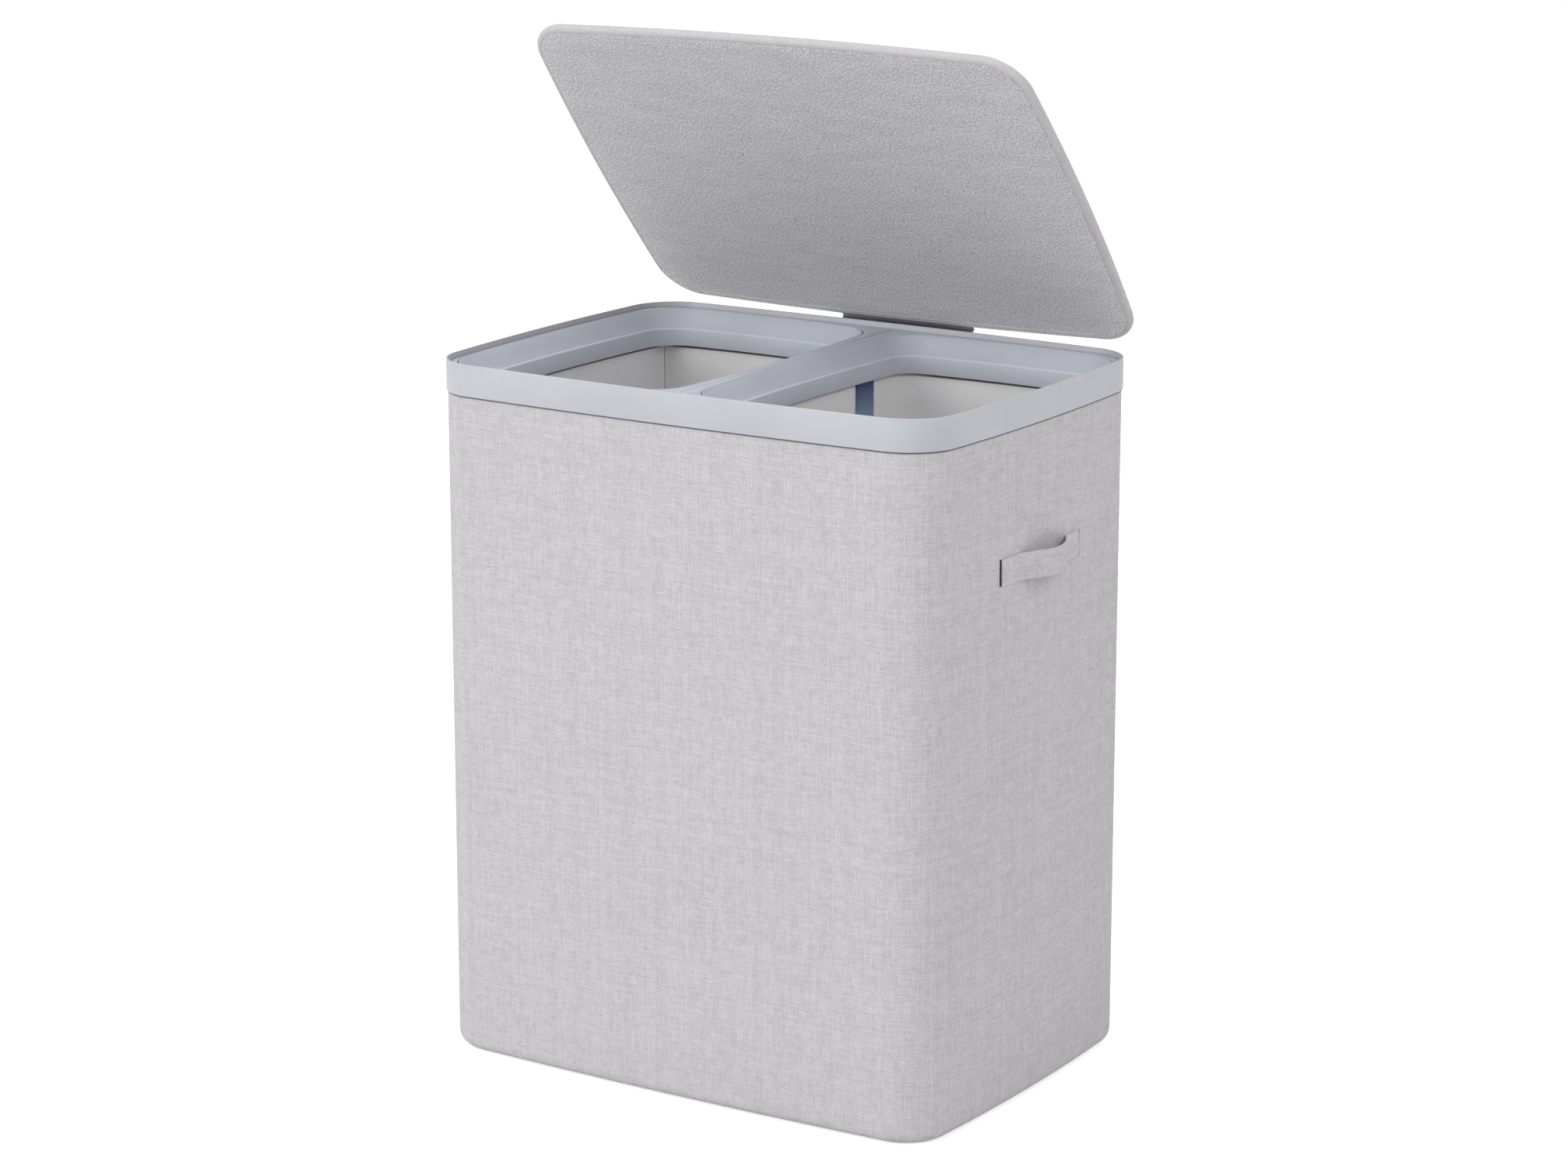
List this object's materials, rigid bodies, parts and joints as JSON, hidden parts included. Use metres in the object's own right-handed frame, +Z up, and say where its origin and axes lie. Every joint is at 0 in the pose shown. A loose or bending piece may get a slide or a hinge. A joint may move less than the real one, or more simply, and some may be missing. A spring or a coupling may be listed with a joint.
{
  "type": "laundry hamper with two bins",
  "caption": "Cloth-covered laundry hamper with a moulded rim, bags hung on drop-in plastic rings, side handles, and a hinged padded lid that stays where it is put.",
  "frame": {"origin": "middle of the flat underside of the body", "axes": "+X towards the right bin as seen from the front, +Y towards the hinge at the back, +Z up"},
  "size_m": [0.5258, 0.3796, 0.8703],
  "materials": {
    "cover_cloth": "light grey linen weave",
    "lid_cloth": "grey felt",
    "lining_cloth": "light smooth lining cloth",
    "strap_webbing": "navy woven tape",
    "padding": "soft wadding",
    "grey_plastic": "satin moulded plastic",
    "board": "pressed fibreboard",
    "steel": "grey plated steel"
  },
  "bodies": {
    "hamper_body": {"outer_cover": "cover_cloth", "front_wall_board": "board", "back_wall_board": "board", "inner_lining": "lining_cloth", "base_tray": "grey_plastic", "rim_band": "grey_plastic", "left_handle": "cover_cloth", "left_bin_seat": "grey_plastic", "left_bin_ring": "grey_plastic", "left_hem_hoop": "steel", "left_bag": "lining_cloth", "left_bag_bottom": "lining_cloth", "left_bag_base_board": "board", "left_carry_strap": "strap_webbing", "right_handle": "cover_cloth", "right_bin_seat": "grey_plastic", "right_bin_ring": "grey_plastic", "right_hem_hoop": "steel", "right_bag": "lining_cloth", "right_bag_bottom": "lining_cloth", "right_bag_base_board": "board", "right_carry_strap": "strap_webbing", "hinge_bracket": "steel", "hinge_pin": "steel", "bracket_screw_1": "steel", "bracket_screw_2": "steel", "bracket_screw_3": "steel", "bracket_screw_4": "steel"},
    "lid": {"lid_cover": "cover_cloth", "lid_underside": "lid_cloth", "lid_board": "board", "lid_padding": "padding", "hinge_leaf": "steel", "hinge_tab_cloth": "cover_cloth", "leaf_screw_1": "steel", "leaf_screw_2": "steel", "leaf_screw_3": "steel", "leaf_screw_4": "steel"}
  },
  "joints": [
    {"name": "lid_hinge", "type": "hinge", "parent": "hamper_body", "child": "lid", "pos_m": [0, 0.1852, 0.5856], "axis": [-1, 0, 0], "range_deg": [-49.7, 55]}
  ]
}
